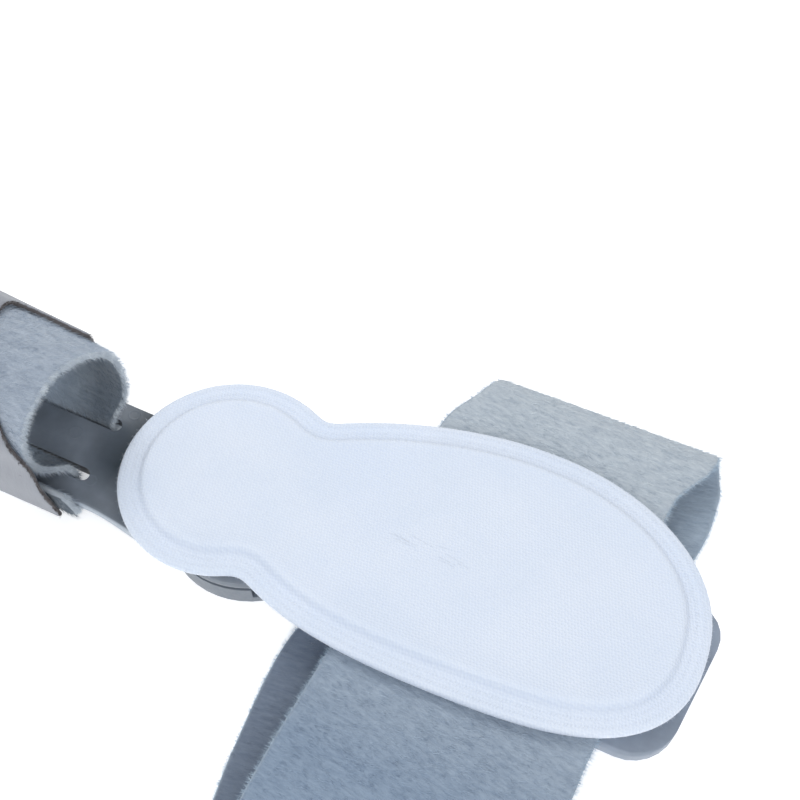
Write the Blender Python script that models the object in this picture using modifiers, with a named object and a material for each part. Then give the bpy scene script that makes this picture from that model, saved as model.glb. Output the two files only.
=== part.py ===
# Bunion corrector: a hinged toe and foot splint with a gel pad and two plush straps.
# It lies on its outer face. X runs along the splint, toe end at -X and foot end at +X.
# Z is up and the origin is on the hinge axis, on the flat underside of the hinge drum.
# All sizes are in metres.

import math

import bmesh
import bpy
from mathutils import Matrix

# Clearance between pieces that rest on or run in each other
GAP = 0.0003

# How far a cutter runs past the faces that it opens
CUT_PAST = 0.001

# Hinge drum: a cup on the toe arm, closed by a cap, around the foot arm's disc
DRUM_RADIUS = 0.0196
DRUM_WALL = 0.0025
DRUM_FLOOR = 0.002
DISC_THICK = 0.0029
CAP_THICK = 0.0027
CAP_EDGE_ROUND = 0.0009
WINDOW_HALF_ANGLE = math.radians(66)
PIN_RADIUS = 0.0037
PIN_HEAD_RADIUS = 0.006
PIN_HEAD_THICK = 0.0012
PIN_SOCKET_DEPTH = 0.001

# Foot arm: neck out of the drum's window, then a plate under the pad
FOOT_PLATE_END = 0.0986
FOOT_PLATE_END_SLANT = 0.16
FOOT_PLATE_HALF_WIDTH = 0.0180
FOOT_PLATE_THICK = 0.0039
FOOT_PLATE_START = 0.030
FOOT_PLATE_CORNER = 0.008
FOOT_NECK_HALF_WIDTH = 0.0082
FOOT_NECK_ROOT_SHARE = 0.6
FOOT_ARM_TURN = math.radians(0.2)

# Toe arm: a neck that climbs off the drum, then a plate that leans up towards the toe
TOE_PLATE_START = 0.034
TOE_PLATE_END = 0.0765
TOE_PLATE_HALF_WIDTH = 0.0135
TOE_PLATE_THICK = 0.003
TOE_PLATE_CORNER = 0.007
TOE_PLATE_RISE = 0.0062
TOE_NECK_ROOT_SHARE = 0.35
TOE_NECK_WIDTH_SHARE = 0.87
TOE_NECK_CLIMB_SHARE = 0.9
TOE_NECK_TOP_SHARE = 0.85
TOE_ARM_LEAN = math.radians(9)
TOE_ARM_TURN = math.radians(3)
SLOT_OFFSET = 0.007
SLOT_WIDTH = 0.0032
SLOT_END_ROOM = 0.0012

# Rounding of both arms' moulded edges
ARM_EDGE_ROUND = 0.0009

# Straps of soft plush
STRAP_THICK = 0.0018
MIDFOOT_STRAP_WIDTH = 0.054
MIDFOOT_STRAP_MIDDLE = 0.0565
MIDFOOT_STRAP_NEAR_REACH = 0.067
MIDFOOT_STRAP_FAR_REACH = 0.0542
TOE_STRAP_START = 0.0385
TOE_STRAP_WIDTH = 0.032
TOE_RING_HALF_WIDTH = 0.0142
TOE_RING_HEIGHT = 0.033
TOE_RING_FLARE = 0.16
TAB_THICK = 0.0012

# Gel pad: a round head over the drum and a long body over the foot plate
PAD_HEAD_RADIUS = 0.0241
PAD_HEAD_X = -0.0076
PAD_HEAD_Y = 0.003
PAD_BODY_X = 0.0515
PAD_BODY_HALF_WIDTH = 0.030
PAD_BODY_TOE_AXIS = 0.061
PAD_END_X = 0.0982
PAD_END_FULLNESS = 2.35
PAD_WAIST_SHARPNESS = 20
PAD_BOW = 0.0042
PAD_BOW_START = -0.005
PAD_BOW_LENGTH = 0.130
PAD_FLANGE_THICK = 0.0019
PAD_FLANGE_WIDTH = 0.0048
PAD_RIDGE_HEIGHT = 0.0013
PAD_RIDGE_WIDTH = 0.0016
PAD_DISH_DEPTH = 0.0007
PAD_DISH_SLOPE = 0.005

# Levels that follow from the sizes above
DISC_BOTTOM = DRUM_FLOOR + GAP
DISC_TOP = DISC_BOTTOM + DISC_THICK
CAP_BOTTOM = DISC_TOP + 2 * GAP
CAP_TOP = CAP_BOTTOM + CAP_THICK
CUP_TOP = CAP_BOTTOM - GAP
FOOT_PLATE_BOTTOM = STRAP_THICK + GAP
FOOT_PLATE_TOP = FOOT_PLATE_BOTTOM + FOOT_PLATE_THICK
STRAP_OVER_PLATE = FOOT_PLATE_TOP + GAP + STRAP_THICK / 2
PAD_BOTTOM = max(CAP_TOP, STRAP_OVER_PLATE + STRAP_THICK / 2) + GAP

ROUND_SIDES = 48
BORE_SIDES = 32


def clear_scene():
    for item in list(bpy.data.objects):
        bpy.data.objects.remove(item)


def new_collection(name):
    group = bpy.data.collections.new(name)
    bpy.context.scene.collection.children.link(group)
    return group


def plain_material(name, colour, roughness):
    material = bpy.data.materials.new(name)
    material.use_nodes = True
    shader = material.node_tree.nodes["Principled BSDF"]
    shader.inputs["Base Color"].default_value = (*colour, 1.0)
    shader.inputs["Roughness"].default_value = roughness
    shader.inputs["Metallic"].default_value = 0.0
    return material


def add_object(name, mesh, group):
    item = bpy.data.objects.new(name, mesh)
    group.objects.link(item)
    return item


def mesh_from(name, shape):
    bmesh.ops.recalc_face_normals(shape, faces=shape.faces)
    mesh = bpy.data.meshes.new(name)
    shape.to_mesh(mesh)
    shape.free()
    return mesh


def shade_round(item, angle=math.radians(35)):
    item.data.shade_smooth()
    item.data.set_sharp_from_angle(angle=angle)


def evaluated_mesh(item):
    bpy.context.view_layer.update()
    return bpy.data.meshes.new_from_object(item.evaluated_get(bpy.context.evaluated_depsgraph_get()))


def flat_solid(name, outline, bottom, top, group):
    """A plan outline filled and extruded between two levels."""
    curve = bpy.data.curves.new(name, "CURVE")
    curve.dimensions = "2D"
    curve.fill_mode = "BOTH"
    curve.extrude = (top - bottom) / 2
    spline = curve.splines.new("POLY")
    spline.points.add(len(outline) - 1)
    for point, (x, y) in zip(spline.points, outline):
        point.co = (x, y, 0, 1)
    spline.use_cyclic_u = True
    source = add_object(name + "_outline", curve, group)
    mesh = evaluated_mesh(source)
    bpy.data.objects.remove(source)
    mesh.transform(Matrix.Translation((0, 0, (top + bottom) / 2)))
    shape = bmesh.new()
    shape.from_mesh(mesh)
    bmesh.ops.remove_doubles(shape, verts=shape.verts, dist=0.00001)
    return add_object(name, mesh_from(name, shape), group)


def cylinder(name, radius, bottom, top, group, sides=ROUND_SIDES):
    shape = bmesh.new()
    bmesh.ops.create_cone(shape, cap_ends=True, segments=sides, radius1=radius, radius2=radius,
                          depth=top - bottom)
    bmesh.ops.translate(shape, verts=shape.verts, vec=(0, 0, (top + bottom) / 2))
    return add_object(name, mesh_from(name, shape), group)


def combine(item, tool, operation):
    modifier = item.modifiers.new(operation.lower() + "_" + tool.name, "BOOLEAN")
    modifier.operation = operation
    modifier.object = tool
    modifier.solver = "EXACT"
    tool.hide_render = True
    tool.display_type = "WIRE"


def arc(centre, radius, start, end, steps):
    return [(centre[0] + radius * math.cos(start + (end - start) * i / steps),
             centre[1] + radius * math.sin(start + (end - start) * i / steps))
            for i in range(steps + 1)]


def stadium(centre_x, centre_y, length, width):
    """A slot outline along X with round ends."""
    radius = width / 2
    reach = length / 2 - radius
    right = arc((centre_x + reach, centre_y), radius, -math.pi / 2, math.pi / 2, 8)
    left = arc((centre_x - reach, centre_y), radius, math.pi / 2, 3 * math.pi / 2, 8)
    return right + left


def rounded_section(half_width, bottom, top, rounding, steps=3):
    """Points around a rectangle with round corners, in Y and Z."""
    most = 0.45
    corner = min(rounding, half_width * most, (top - bottom) * most)
    points = []
    for y_side, z_side, start in ((1, 1, 0), (-1, 1, 90), (-1, -1, 180), (1, -1, 270)):
        centre_y = y_side * (half_width - corner)
        centre_z = (top - corner) if z_side > 0 else (bottom + corner)
        points += arc((centre_y, centre_z), corner, math.radians(start), math.radians(start + 90), steps)
    return points


def loft_along_x(name, stations, rounding, group):
    """A closed solid through rounded sections; each station has x, half_width, bottom and top,
    and may have slant, how far its far side runs ahead for each metre of Y."""
    shape = bmesh.new()
    rings = []
    for row in stations:
        section = rounded_section(row["half_width"], row["bottom"], row["top"], rounding)
        slant = row.get("slant", 0.0)
        rings.append([shape.verts.new((row["x"] + slant * y, y, z)) for y, z in section])
    for first, second in zip(rings, rings[1:]):
        for i in range(len(first)):
            j = (i + 1) % len(first)
            shape.faces.new((first[i], first[j], second[j], second[i]))
    shape.faces.new(rings[0])
    shape.faces.new(list(reversed(rings[-1])))
    return add_object(name, mesh_from(name, shape), group)


def ease(share):
    share = min(max(share, 0.0), 1.0)
    return share * share * (3 - 2 * share)


def blend(first, second, share):
    return first + (second - first) * share


def end_stations(end, corner, half_width, steps=6):
    """Distances and half widths along a plate's rounded end, up to the end itself."""
    rows = []
    for i in range(steps + 1):
        angle = math.pi / 2 * i / steps
        rows.append((end - corner + corner * math.sin(angle),
                     half_width - corner + corner * math.cos(angle)))
    return rows


def foot_arm_stations():
    """Neck from inside the drum, flaring to the plate, whose round-cornered end is cut aslant."""
    rows = []
    neck_start = DRUM_RADIUS * FOOT_NECK_ROOT_SHARE
    flare_end = FOOT_PLATE_START + FOOT_PLATE_HALF_WIDTH * FOOT_NECK_ROOT_SHARE
    climb_start = DRUM_RADIUS + 2 * GAP
    for i in range(13):
        x = blend(neck_start, flare_end, i / 12)
        share = ease((x - climb_start) / (flare_end - climb_start))
        rows.append({"x": x,
                     "half_width": blend(FOOT_NECK_HALF_WIDTH, FOOT_PLATE_HALF_WIDTH, share),
                     "bottom": blend(DISC_BOTTOM, FOOT_PLATE_BOTTOM, share),
                     "top": blend(DISC_TOP, FOOT_PLATE_TOP, share)})
    for x, half_width in end_stations(FOOT_PLATE_END, FOOT_PLATE_CORNER, FOOT_PLATE_HALF_WIDTH):
        rows.append({"x": x, "half_width": half_width, "bottom": FOOT_PLATE_BOTTOM, "top": FOOT_PLATE_TOP,
                     "slant": FOOT_PLATE_END_SLANT})
    return rows


def make_foot_arm(group, cutters, material):
    arm = loft_along_x("foot_arm", foot_arm_stations(), ARM_EDGE_ROUND, group)
    disc = cylinder("foot_arm_disc", DRUM_RADIUS - DRUM_WALL - 2 * GAP, DISC_BOTTOM, DISC_TOP, cutters)
    bore = cylinder("foot_arm_bore", PIN_RADIUS + GAP, DISC_BOTTOM - CUT_PAST, DISC_TOP + CUT_PAST,
                    cutters, BORE_SIDES)
    combine(arm, disc, "UNION")
    combine(arm, bore, "DIFFERENCE")
    arm.data.materials.append(material)
    arm.rotation_euler = (0, 0, FOOT_ARM_TURN)
    return arm


def toe_plate_top(distance):
    """Height of the toe plate's upper face at a distance from the hinge."""
    return TOE_PLATE_RISE + (distance - TOE_PLATE_START) * math.tan(TOE_ARM_LEAN)


def toe_arm_stations():
    """Neck that leaves the drum at its full width, climbs and narrows to the slotted plate."""
    rows = []
    neck_root = DRUM_RADIUS * TOE_NECK_ROOT_SHARE
    climb_start = DRUM_RADIUS * TOE_NECK_CLIMB_SHARE
    root_half_width = DRUM_RADIUS * TOE_NECK_WIDTH_SHARE
    for i in range(11):
        distance = blend(neck_root, TOE_PLATE_START, i / 10)
        share = ease((distance - neck_root) / (TOE_PLATE_START - neck_root))
        climb = ease((distance - climb_start) / (TOE_PLATE_START - climb_start))
        rows.append((distance, blend(root_half_width, TOE_PLATE_HALF_WIDTH, share), climb))
    for distance, half_width in end_stations(TOE_PLATE_END, TOE_PLATE_CORNER, TOE_PLATE_HALF_WIDTH):
        rows.append((distance, half_width, 1.0))
    return [{"x": -distance,
             "half_width": half_width,
             "bottom": blend(0.0, toe_plate_top(distance) - TOE_PLATE_THICK, climb),
             "top": blend(CUP_TOP * TOE_NECK_TOP_SHARE, toe_plate_top(distance), climb)}
            for distance, half_width, climb in rows]


def make_toe_arm(group, cutters, material):
    arm = loft_along_x("toe_arm", toe_arm_stations(), ARM_EDGE_ROUND, group)
    cup = cylinder("toe_arm_cup", DRUM_RADIUS, 0.0, CUP_TOP, cutters)
    hollow = cylinder("toe_arm_hollow", DRUM_RADIUS - DRUM_WALL, DRUM_FLOOR, CUP_TOP + CUT_PAST, cutters)
    window_reach = DRUM_RADIUS + 2 * DRUM_WALL
    window_outline = [(0.0, 0.0)] + arc((0, 0), window_reach, -WINDOW_HALF_ANGLE, WINDOW_HALF_ANGLE, 20)
    window = flat_solid("toe_arm_window", window_outline, DRUM_FLOOR, CUP_TOP + 2 * CUT_PAST, cutters)
    socket = cylinder("toe_arm_socket", PIN_RADIUS + GAP, DRUM_FLOOR - PIN_SOCKET_DEPTH,
                      DRUM_FLOOR + CUT_PAST, cutters, BORE_SIDES)
    combine(arm, cup, "UNION")
    combine(arm, hollow, "DIFFERENCE")
    combine(arm, window, "DIFFERENCE")
    combine(arm, socket, "DIFFERENCE")
    slot_length = TOE_STRAP_WIDTH + 2 * SLOT_END_ROOM
    slot_centre = -(TOE_STRAP_START + TOE_STRAP_WIDTH / 2)
    for side, word in ((1, "far"), (-1, "near")):
        outline = stadium(slot_centre, side * SLOT_OFFSET, slot_length, SLOT_WIDTH)
        slot = flat_solid("toe_slot_" + word, outline, -CUT_PAST, toe_plate_top(TOE_PLATE_END) + CUT_PAST,
                          cutters)
        combine(arm, slot, "DIFFERENCE")
    arm.data.materials.append(material)
    return arm


def make_drum_cap(group, cutters, material):
    cap = cylinder("drum_cap", DRUM_RADIUS, CAP_BOTTOM, CAP_TOP, group)
    edge = cap.modifiers.new("edge", "BEVEL")
    edge.width = CAP_EDGE_ROUND
    edge.segments = 2
    edge.limit_method = "ANGLE"
    bore = cylinder("cap_bore", PIN_RADIUS + GAP, CAP_BOTTOM - CUT_PAST, CAP_TOP + CUT_PAST,
                    cutters, BORE_SIDES)
    recess = cylinder("cap_recess", PIN_HEAD_RADIUS + GAP, CAP_TOP - PIN_HEAD_THICK - GAP,
                      CAP_TOP + CUT_PAST, cutters, BORE_SIDES)
    combine(cap, bore, "DIFFERENCE")
    combine(cap, recess, "DIFFERENCE")
    cap.data.materials.append(material)
    return cap


def make_hinge_pin(group, material):
    """A turned rivet: its head sits in the cap and its foot in the cup's socket."""
    head_top = CAP_TOP
    head_bottom = CAP_TOP - PIN_HEAD_THICK
    foot = DRUM_FLOOR - PIN_SOCKET_DEPTH + GAP
    profile = [(0.0, head_top), (PIN_HEAD_RADIUS, head_top), (PIN_HEAD_RADIUS, head_bottom),
               (PIN_RADIUS, head_bottom), (PIN_RADIUS, foot), (0.0, foot)]
    mesh = bpy.data.meshes.new("hinge_pin")
    edges = [(i, i + 1) for i in range(len(profile) - 1)]
    mesh.from_pydata([(radius, 0, z) for radius, z in profile], edges, [])
    pin = add_object("hinge_pin", mesh, group)
    turn = pin.modifiers.new("turn", "SCREW")
    turn.axis = "Z"
    turn.angle = 2 * math.pi
    turn.steps = BORE_SIDES
    turn.render_steps = BORE_SIDES
    turn.use_merge_vertices = True
    turn.merge_threshold = 0.00001
    pin.data.materials.append(material)
    return pin


def pad_half_width(x):
    """Half width of the pad: a round head and a long oval body, melted together at the waist."""
    head = PAD_HEAD_RADIUS ** 2 - (x - PAD_HEAD_X) ** 2
    head = math.sqrt(head) if head > 0 else 0.0
    if x < PAD_BODY_X:
        share, power = (PAD_BODY_X - x) / PAD_BODY_TOE_AXIS, 2.0
    else:
        share, power = (x - PAD_BODY_X) / (PAD_END_X - PAD_BODY_X), PAD_END_FULLNESS
    body = PAD_BODY_HALF_WIDTH * max(1 - share ** power, 0.0) ** (1 / power)
    if x < PAD_HEAD_X:
        return head
    melt = PAD_WAIST_SHARPNESS
    return (head ** melt + body ** melt) ** (1 / melt)


def pad_midline(x):
    """Y of the pad's middle: straight at the head, bowed to the far side over the body."""
    share = max(x - PAD_BOW_START, 0.0) / PAD_BOW_LENGTH
    return PAD_HEAD_Y + PAD_BOW * math.sin(math.pi * share) ** 2


def pad_outline(count=44):
    """Plan points around the pad, closer together at its round ends."""
    start = PAD_HEAD_X - PAD_HEAD_RADIUS
    places = [blend(start, PAD_END_X, (1 - math.cos(math.pi * i / count)) / 2) for i in range(count + 1)]
    far_side = [(x, pad_midline(x) + pad_half_width(x)) for x in places]
    near_side = [(x, pad_midline(x) - pad_half_width(x)) for x in places[1:-1]]
    return list(reversed(far_side)) + near_side


def make_gel_pad(group, material):
    """Flat flange, raised ridge parallel to the outline and a shallow dished middle."""
    shape = bmesh.new()
    base = shape.faces.new([shape.verts.new((x, y, PAD_BOTTOM)) for x, y in pad_outline()])
    lifted = bmesh.ops.extrude_face_region(shape, geom=[base])
    top_verts = [v for v in lifted["geom"] if isinstance(v, bmesh.types.BMVert)]
    top = [f for f in lifted["geom"] if isinstance(f, bmesh.types.BMFace)][0]
    bmesh.ops.translate(shape, verts=top_verts, vec=(0, 0, PAD_FLANGE_THICK))
    steps = ((PAD_FLANGE_WIDTH, 0.0), (PAD_RIDGE_WIDTH, PAD_RIDGE_HEIGHT),
             (PAD_RIDGE_WIDTH, 0.0), (PAD_DISH_SLOPE, -PAD_DISH_DEPTH))
    for width, lift in steps:
        bmesh.ops.inset_region(shape, faces=[top], thickness=width, use_even_offset=True)
        bmesh.ops.translate(shape, verts=list(top.verts), vec=(0, 0, lift))
    pad = add_object("gel_pad", mesh_from("gel_pad", shape), group)
    pad.data.materials.append(material)
    return pad


def smooth_rows(rows, columns, steps):
    """Rows of a table joined by a smooth curve, with several samples between each two rows."""
    samples = []
    last = len(rows) - 1
    for i in range(last):
        before, first, second, after = (rows[max(i - 1, 0)], rows[i], rows[i + 1], rows[min(i + 2, last)])
        for step in range(steps):
            t = step / steps
            samples.append({c: curve_value(before[c], first[c], second[c], after[c], t) for c in columns})
    samples.append({c: rows[-1][c] for c in columns})
    return samples


def curve_value(before, first, second, after, t):
    """Catmull-Rom value between two table rows."""
    return 0.5 * (2 * first + (second - before) * t
                  + (2 * before - 5 * first + 4 * second - after) * t * t
                  + (3 * first - before - 3 * second + after) * t * t * t)


def strip_solid(name, samples, thickness, across, group, material):
    """A strap: a ruled strip through samples of y, z and both edges in x, thickened evenly.
    A sample may have z_left, where its left edge stands at another height."""
    shape = bmesh.new()
    lines = []
    for row in samples:
        z_left = row.get("z_left", row["z"])
        line = [shape.verts.new((blend(row["left"], row["right"], i / across), row["y"],
                                 blend(z_left, row["z"], i / across)))
                for i in range(across + 1)]
        lines.append(line)
    for first, second in zip(lines, lines[1:]):
        for i in range(across):
            shape.faces.new((first[i], first[i + 1], second[i + 1], second[i]))
    mesh = bpy.data.meshes.new(name)
    shape.to_mesh(mesh)
    shape.free()
    strap = add_object(name, mesh, group)
    body = strap.modifiers.new("thickness", "SOLIDIFY")
    body.thickness = thickness
    body.offset = 0.0
    body.use_even_offset = True
    strap.data.materials.append(material)
    return strap


def make_midfoot_strap(group, material):
    """A closed loop lying flat: its upper layer crosses over the foot plate, its lower layer lies
    under it, and the hidden ends lap inside the near fold."""
    near = MIDFOOT_STRAP_NEAR_REACH
    far = MIDFOOT_STRAP_FAR_REACH
    width = MIDFOOT_STRAP_WIDTH
    thick = STRAP_THICK
    pad_near = pad_midline(PAD_BODY_X) - PAD_BODY_HALF_WIDTH - thick
    pad_far = pad_midline(PAD_BODY_X) + PAD_BODY_HALF_WIDTH + thick / 2
    floor = thick / 2
    lap = floor + thick + GAP
    over = STRAP_OVER_PLATE
    columns = ("y", "z", "shift", "draw")
    # shift moves the strap along X and draw pulls both its edges in, as shares of its width
    table = (
        (-0.78 * near, lap, 0.030, 0.0),
        (-0.86 * near, lap, 0.025, 0.0),
        (-0.94 * near, lap + 0.3 * thick, 0.010, 0.0),
        (-1.00 * near, (lap + over) / 2 + 0.8 * thick, -0.010, 0.015),
        (-0.90 * near, over + 1.8 * thick, -0.022, 0.006),
        (-0.68 * near, over + 1.7 * thick, -0.020, 0.006),
        (pad_near, over, -0.004, 0.004),
        (0.6 * pad_near, over, 0.009, 0.0),
        (0.0, over, 0.0, 0.0),
        (0.6 * pad_far, over, -0.018, 0.0),
        (pad_far, over, -0.006, 0.0),
        (0.86 * far, over + 0.7 * thick, 0.080, 0.0),
        (0.95 * far, over + 0.1 * thick, 0.110, 0.004),
        (1.00 * far, (floor + over) / 2 + 0.2 * thick, 0.124, 0.014),
        (0.95 * far, floor + 0.5 * thick, 0.145, 0.006),
        (0.84 * far, floor + 0.1 * thick, 0.165, 0.0),
        (0.55 * far, floor + 0.1 * thick, 0.140, 0.0),
        (0.0, floor, -0.045, 0.0),
        (-0.32 * near, floor, -0.180, 0.0),
        (-0.67 * near, floor, -0.170, 0.0),
        (-0.93 * near, floor, -0.125, 0.0),
    )
    rows = [dict(zip(columns, row)) for row in table]
    samples = smooth_rows(rows, columns, 4)
    for row in samples:
        middle = MIDFOOT_STRAP_MIDDLE + row["shift"] * width
        half_width = (0.5 - row["draw"]) * width
        row["left"] = middle - half_width
        row["right"] = middle + half_width
    return strip_solid("midfoot_strap", samples, thick, 3, group, material)


def place_on_toe_plate(strap, turn_empty):
    """Puts a strap that is drawn on a level plate on to the leaning toe plate."""
    strap.data.transform(Matrix.Rotation(TOE_ARM_LEAN, 4, "Y"))
    strap.location = (0, 0, toe_plate_top(0.0))
    strap.parent = turn_empty


def toe_strip(name, table, steps, thickness, group, material, turn_empty):
    """A strip on the toe plate; its edge towards the hinge is inset by shares of the strap's width,
    and above the plate it stands taller towards the toe."""
    columns = ("y", "z", "inset")
    rows = [dict(zip(columns, row)) for row in table]
    samples = smooth_rows(rows, columns, steps)
    for row in samples:
        row["right"] = -TOE_STRAP_START - row["inset"] * TOE_STRAP_WIDTH
        row["left"] = -TOE_STRAP_START - TOE_STRAP_WIDTH
        flare = TOE_RING_FLARE * max(row["z"] - 2 * STRAP_THICK, 0.0)
        row["z_left"] = row["z"] + flare
        row["z"] += flare * row["inset"]
    strip = strip_solid(name, samples, thickness, 2, group, material)
    place_on_toe_plate(strip, turn_empty)
    return strip


def make_toe_strap(group, material, turn_empty):
    """The toe ring: down through both slots and back up around both margins of the plate."""
    ring = TOE_RING_HALF_WIDTH
    height = TOE_RING_HEIGHT
    slot = SLOT_OFFSET
    thick = STRAP_THICK
    under = -(TOE_PLATE_THICK + GAP + 0.6 * thick)
    side = TOE_PLATE_HALF_WIDTH + GAP + thick / 2
    table = (
        (side - 0.3 * thick, 1.4 * thick, 0.11),
        (side, -0.3 * thick, 0.11),
        (side - 0.3 * thick, under + 0.6 * thick, 0.095),
        (side - 1.4 * thick, under, 0.06),
        (slot + 1.4 * thick, under, 0.045),
        (slot + 0.2 * thick, under + 0.7 * thick, 0.045),
        (slot, -0.7 * thick, 0.050),
        (slot + 0.4 * thick, 1.0 * thick, 0.040),
        (0.80 * ring, 0.21 * height, 0.006),
        (0.87 * ring, 0.43 * height, 0.02),
        (0.72 * ring, 0.70 * height, 0.045),
        (0.31 * ring, 0.91 * height, 0.075),
        (-0.24 * ring, 0.99 * height, 0.13),
        (-0.74 * ring, 0.90 * height, 0.165),
        (-1.04 * ring, 0.69 * height, 0.19),
        (-1.04 * ring, 0.40 * height, 0.20),
        (-0.85 * ring, 0.18 * height, 0.19),
        (-slot - 0.4 * thick, 0.7 * thick, 0.12),
        (-slot, -0.9 * thick, 0.08),
        (-slot - 0.3 * thick, under + 0.6 * thick, 0.06),
        (-slot - 1.5 * thick, under, 0.02),
        (-side + 1.4 * thick, under, -0.03),
        (-side + 0.3 * thick, under + 0.6 * thick, -0.06),
        (-side, -0.3 * thick, -0.06),
        (-side, 1.6 * thick, 0.01),
    )
    return toe_strip("toe_strap", table, 3, thick, group, material, turn_empty)


def make_toe_strap_tab(group, material, turn_empty):
    """The smooth-backed closing tab over the outside of the toe ring: low on the near side, narrow
    over the crown, and wide again on the far side, where its slanted cut shows at the crown."""
    ring = TOE_RING_HALF_WIDTH
    height = TOE_RING_HEIGHT
    lift = STRAP_THICK / 2 + GAP + TAB_THICK / 2
    side = TOE_PLATE_HALF_WIDTH + GAP + STRAP_THICK / 2 + lift
    table = (
        (-side, -1.6 * lift, 0.02),
        (-side - 0.1 * lift, 0.7 * lift, 0.06),
        (-1.04 * ring - 1.20 * lift, 0.22 * height, 0.115),
        (-1.04 * ring - 1.02 * lift, 0.42 * height, 0.155),
        (-1.04 * ring - 1.00 * lift, 0.70 * height, 0.270),
        (-0.74 * ring - 0.70 * lift, 0.90 * height + 0.78 * lift, 0.420),
        (-0.24 * ring - 0.05 * lift, 0.99 * height + 1.05 * lift, 0.570),
        (0.31 * ring + 0.60 * lift, 0.91 * height + 0.86 * lift, 0.660),
        (0.58 * ring + 0.80 * lift, 0.79 * height + 0.66 * lift, 0.620),
        (0.66 * ring + 0.88 * lift, 0.74 * height + 0.54 * lift, 0.240),
        (0.74 * ring + 0.95 * lift, 0.68 * height + 0.42 * lift, 0.230),
        (0.87 * ring + 1.08 * lift, 0.44 * height, 0.230),
        (0.83 * ring + 1.05 * lift, 0.30 * height, 0.230),
    )
    return toe_strip("toe_strap_tab", table, 3, TAB_THICK, group, material, turn_empty)


def main():
    clear_scene()
    group = new_collection("bunion_corrector")
    cutters = new_collection("cutters")

    foot_plastic = plain_material("foot_plastic", (0.30, 0.36, 0.44), 0.45)
    toe_plastic = plain_material("toe_plastic", (0.13, 0.16, 0.19), 0.42)
    cap_plastic = plain_material("cap_plastic", (0.26, 0.31, 0.36), 0.45)
    pin_plastic = plain_material("pin_plastic", (0.22, 0.25, 0.28), 0.40)
    plush = plain_material("plush", (0.36, 0.44, 0.52), 0.95)
    toe_plush = plain_material("toe_plush", (0.33, 0.41, 0.49), 0.95)
    tab_cloth = plain_material("tab_cloth", (0.36, 0.38, 0.43), 0.60)
    pad_knit = plain_material("pad_knit", (0.72, 0.80, 0.92), 0.70)

    turn_empty = bpy.data.objects.new("toe_arm_axis", None)
    group.objects.link(turn_empty)
    turn_empty.rotation_euler = (0, 0, TOE_ARM_TURN)

    make_foot_arm(group, cutters, foot_plastic)
    make_midfoot_strap(group, plush)
    make_gel_pad(group, pad_knit)
    toe_arm = make_toe_arm(group, cutters, toe_plastic)
    toe_arm.parent = turn_empty
    cap = make_drum_cap(group, cutters, cap_plastic)
    cap.parent = turn_empty
    pin = make_hinge_pin(group, pin_plastic)
    pin.parent = turn_empty
    make_toe_strap(group, toe_plush, turn_empty)
    make_toe_strap_tab(group, tab_cloth, turn_empty)

    for cutter in cutters.objects:
        if cutter.name.startswith(("toe_arm", "toe_slot")):
            cutter.parent = turn_empty
        if cutter.name.startswith("foot_arm"):
            cutter.rotation_euler = (0, 0, FOOT_ARM_TURN)
    for item in group.objects:
        if item.type == "MESH":
            shade_round(item)


main()
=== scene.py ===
import math

import bmesh
import bpy
import numpy as np
from mathutils import Matrix, Vector
from mathutils.geometry import delaunay_2d_cdt


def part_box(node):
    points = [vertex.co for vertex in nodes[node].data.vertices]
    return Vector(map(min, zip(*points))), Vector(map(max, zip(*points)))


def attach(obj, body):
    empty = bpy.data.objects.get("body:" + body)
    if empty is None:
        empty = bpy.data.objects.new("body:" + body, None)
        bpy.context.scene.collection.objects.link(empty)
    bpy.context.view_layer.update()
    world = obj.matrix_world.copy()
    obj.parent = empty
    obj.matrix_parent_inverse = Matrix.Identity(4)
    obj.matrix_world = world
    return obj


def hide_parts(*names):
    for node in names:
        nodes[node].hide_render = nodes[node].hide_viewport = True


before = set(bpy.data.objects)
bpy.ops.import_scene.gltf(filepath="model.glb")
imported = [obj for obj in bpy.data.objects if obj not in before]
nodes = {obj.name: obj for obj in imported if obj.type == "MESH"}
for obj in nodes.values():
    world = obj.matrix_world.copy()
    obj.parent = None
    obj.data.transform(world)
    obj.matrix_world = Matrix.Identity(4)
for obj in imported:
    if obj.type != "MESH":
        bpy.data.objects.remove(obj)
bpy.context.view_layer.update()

# Looks of a hinged toe splint: knit gel pad, brushed plush straps, satin moulded arms.
# Lengths are in metres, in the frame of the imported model.
mm = 0.001


# Materials: sockets as numbers in Python sums
class Sock:
    def __init__(self, finish, out):
        self.finish, self.out = finish, out

    def sum(self, how, other, swap=False):
        pair = (other, self) if swap else (self, other)
        return self.finish.node("Math", {"operation": how}, {0: pair[0], 1: pair[1]})

    def __add__(self, other):
        return self.sum("ADD", other)

    __radd__ = __add__

    def __sub__(self, other):
        return self.sum("SUBTRACT", other)

    def __rsub__(self, other):
        return self.sum("SUBTRACT", other, True)

    def __mul__(self, other):
        return self.sum("MULTIPLY", other)

    __rmul__ = __mul__


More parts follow.
